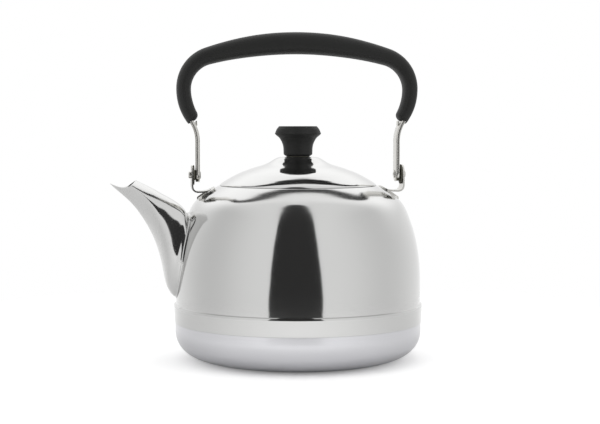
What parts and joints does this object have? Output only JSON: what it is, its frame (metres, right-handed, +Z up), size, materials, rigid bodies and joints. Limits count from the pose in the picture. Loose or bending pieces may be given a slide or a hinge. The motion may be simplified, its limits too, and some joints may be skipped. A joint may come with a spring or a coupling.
{
  "type": "stovetop kettle",
  "caption": "Stovetop kettle with a mirror-steel body on a satin pan, a short flared spout, a lift-off domed lid with a knob, and a swinging bail with a moulded grip.",
  "frame": {"origin": "centre of the pan's flat underside, on the axis of the body", "axes": "+Z up; the spout points along -X; the bail swings about a line parallel to X; +Y is the side away from the viewer of the picture"},
  "size_m": [0.2378, 0.1902, 0.2492],
  "materials": {
    "polished_steel": "mirror-polished stainless sheet",
    "satin_steel": "satin stainless sheet",
    "plated_steel": "bright plated strip",
    "black_resin": "moulded heat-proof resin, near-black matte",
    "dark_fibre": "pressed fibre",
    "brass_insert": "turned"
  },
  "bodies": {
    "body": {"body_shell": "polished_steel", "base_pan": "satin_steel", "spout": "polished_steel", "front_ear": "plated_steel", "front_rivet": "plated_steel", "front_bush": "dark_fibre", "front_friction_disc": "dark_fibre", "rear_ear": "plated_steel", "rear_rivet": "plated_steel", "rear_bush": "dark_fibre", "rear_friction_disc": "dark_fibre"},
    "lid": {"lid_dome": "polished_steel", "lid_collar": "satin_steel", "knob": "black_resin", "knob_seat_washer": "dark_fibre", "knob_insert": "brass_insert", "knob_screw": "plated_steel", "knob_screw_washer": "plated_steel"},
    "bail": {"bail_strap": "plated_steel", "grip": "black_resin"}
  },
  "joints": [
    {"name": "bail_pivot", "type": "hinge", "parent": "body", "child": "bail", "pos_m": [0, 0, 0.1412], "axis": [1, 0, 0], "range_deg": [-108, 108]},
    {"name": "lid_lift", "type": "slide", "parent": "body", "child": "lid", "axis": [0, 0, 1], "range_m": [0, 0.045]}
  ]
}
